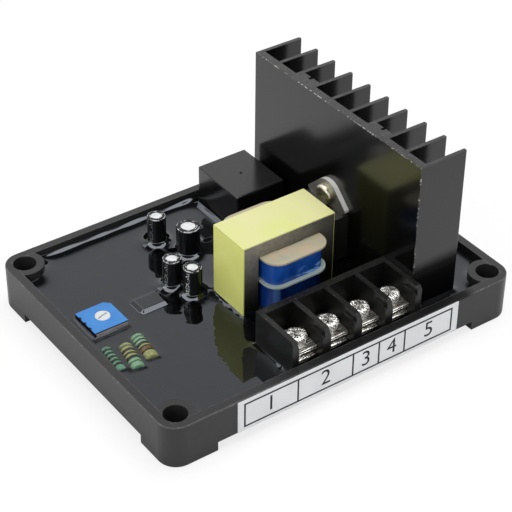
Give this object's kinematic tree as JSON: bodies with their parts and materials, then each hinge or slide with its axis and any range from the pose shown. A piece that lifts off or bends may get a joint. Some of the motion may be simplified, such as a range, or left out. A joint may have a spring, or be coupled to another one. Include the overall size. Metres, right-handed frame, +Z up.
{
  "type": "automatic voltage regulator",
  "caption": "Potted generator voltage regulator in a black tray with a finned heatsink, a small transformer, screw terminals, a relay and a trimmer.",
  "frame": {"origin": "centre of the footprint, on the surface the feet stand on", "axes": "+X along the label side towards the heatsink, +Y from the label side to the back, +Z up out of the tray"},
  "size_m": [0.105, 0.0802, 0.0517],
  "materials": {
    "tray_plastic": "satin moulded black",
    "potting_compound": "glossy black compound",
    "board_laminate": "green laminate",
    "label_paper": "white printed label",
    "black_anodised": "black anodised, satin",
    "screw_steel": "zinc plated",
    "tab_metal": "plated tab",
    "device_epoxy": "moulded black epoxy",
    "tinned_wire": "tinned",
    "core_steel": "varnished laminations",
    "core_tape": "pale yellow film tape",
    "bobbin_nylon": "cream moulded nylon",
    "winding_wrap": "blue film tape over the wire",
    "terminal_plastic": "moulded black",
    "nickel_plate": "bright nickel plate",
    "trimmer_grey": "grey moulded",
    "trimmer_blue": "blue moulded",
    "trimmer_white": "white moulded",
    "relay_plastic": "black moulded case",
    "can_aluminium": "bare aluminium",
    "sleeve_black": "black shrunk sleeve",
    "resistor_teal": "green lacquer",
    "resistor_olive": "olive lacquer",
    "film_capacitor_coat": "dark dipped coat"
  },
  "bodies": {
    "regulator": {"capacitor_can_a": "can_aluminium", "capacitor_can_b": "can_aluminium", "capacitor_can_c": "can_aluminium", "capacitor_can_d": "can_aluminium", "capacitor_leads": "tinned_wire", "capacitor_sleeve_a": "sleeve_black", "capacitor_sleeve_b": "sleeve_black", "capacitor_sleeve_c": "sleeve_black", "capacitor_sleeve_d": "sleeve_black", "circuit_board": "board_laminate", "core_tape": "core_tape", "film_capacitor": "film_capacitor_coat", "film_capacitor_leads": "tinned_wire", "front_label": "label_paper", "heatsink": "black_anodised", "heatsink_screws": "screw_steel", "lock_washers": "nickel_plate", "lower_winding": "winding_wrap", "optocoupler": "device_epoxy", "optocoupler_pins": "tinned_wire", "potting": "potting_compound", "relay_case": "relay_plastic", "relay_pins": "tinned_wire", "resistor_leads": "tinned_wire", "resistor_left": "resistor_teal", "resistor_middle": "resistor_olive", "resistor_right": "resistor_olive", "terminal_clamp_1": "nickel_plate", "terminal_clamp_2": "nickel_plate", "terminal_clamp_3": "nickel_plate", "terminal_clamp_4": "nickel_plate", "terminal_housing": "terminal_plastic", "terminal_plate_1": "nickel_plate", "terminal_plate_2": "nickel_plate", "terminal_plate_3": "nickel_plate", "terminal_plate_4": "nickel_plate", "terminal_screws": "nickel_plate", "thyristor_body": "device_epoxy", "thyristor_leads": "tinned_wire", "thyristor_screw": "screw_steel", "thyristor_tab": "tab_metal", "transformer_bobbin": "bobbin_nylon", "transformer_core": "core_steel", "transformer_pins": "tinned_wire", "tray": "tray_plastic", "trimmer_base": "trimmer_grey", "trimmer_cover": "trimmer_blue", "trimmer_pins": "tinned_wire", "upper_winding": "winding_wrap"},
    "rotor": {"trimmer_rotor": "trimmer_white"}
  },
  "joints": [
    {"name": "trimmer_turn", "type": "hinge", "parent": "regulator", "child": "rotor", "pos_m": [-0.0416, 0.0067, 0.0112], "axis": [0, 0, 1], "range_deg": [-135, 135]}
  ]
}
